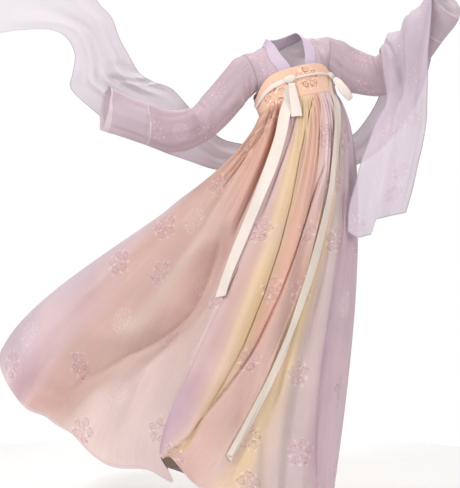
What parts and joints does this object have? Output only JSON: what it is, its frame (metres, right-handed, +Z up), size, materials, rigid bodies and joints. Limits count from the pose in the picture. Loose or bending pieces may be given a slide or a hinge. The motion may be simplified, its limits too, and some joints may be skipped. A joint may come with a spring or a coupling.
{
  "type": "hanfu robe set",
  "caption": "Chest-high pleated hanfu skirt with a sheer parallel-collar jacket, a tied chest band with long tie ends and a long sheer shawl, held as it is worn.",
  "frame": {"origin": "between the wearer's shoulders, at the base of the neck, where the jacket hangs", "axes": "+Z up, the garment faces -Y, +X towards the wearer's left arm"},
  "size_m": [1.5879, 0.8413, 1.891],
  "materials": {
    "jacket": "sheer",
    "collar": "matte",
    "cuff": "sheer",
    "band": "matte",
    "tie": "matte",
    "shawl": "sheer",
    "skirt_1": "matte",
    "skirt_2": "matte",
    "skirt_3": "matte",
    "skirt_4": "matte",
    "skirt_5": "matte",
    "skirt_6": "matte",
    "skirt_7": "matte",
    "skirt_8": "matte"
  },
  "bodies": {
    "root": {"jacket_right": "jacket", "jacket_left": "jacket", "collar": "collar", "sleeve_right": "jacket", "sleeve_left": "jacket", "cuff_right": "cuff", "cuff_left": "cuff", "chest_band": "band", "tie_round": "tie", "knot_right": "tie", "short_end": "tie", "tail_right": "tie", "knot_left": "tie", "loop_left": "tie", "tail_left": "tie", "shawl_flying": "shawl", "shawl_behind": "shawl", "shawl_arm": "shawl", "skirt_panel_1": "skirt_1", "skirt_panel_2": "skirt_2", "skirt_panel_3": "skirt_3", "skirt_panel_4": "skirt_4", "skirt_panel_5": "skirt_5", "skirt_panel_6": "skirt_6", "skirt_panel_7": "skirt_7", "skirt_panel_8": "skirt_8"}
  },
  "joints": []
}
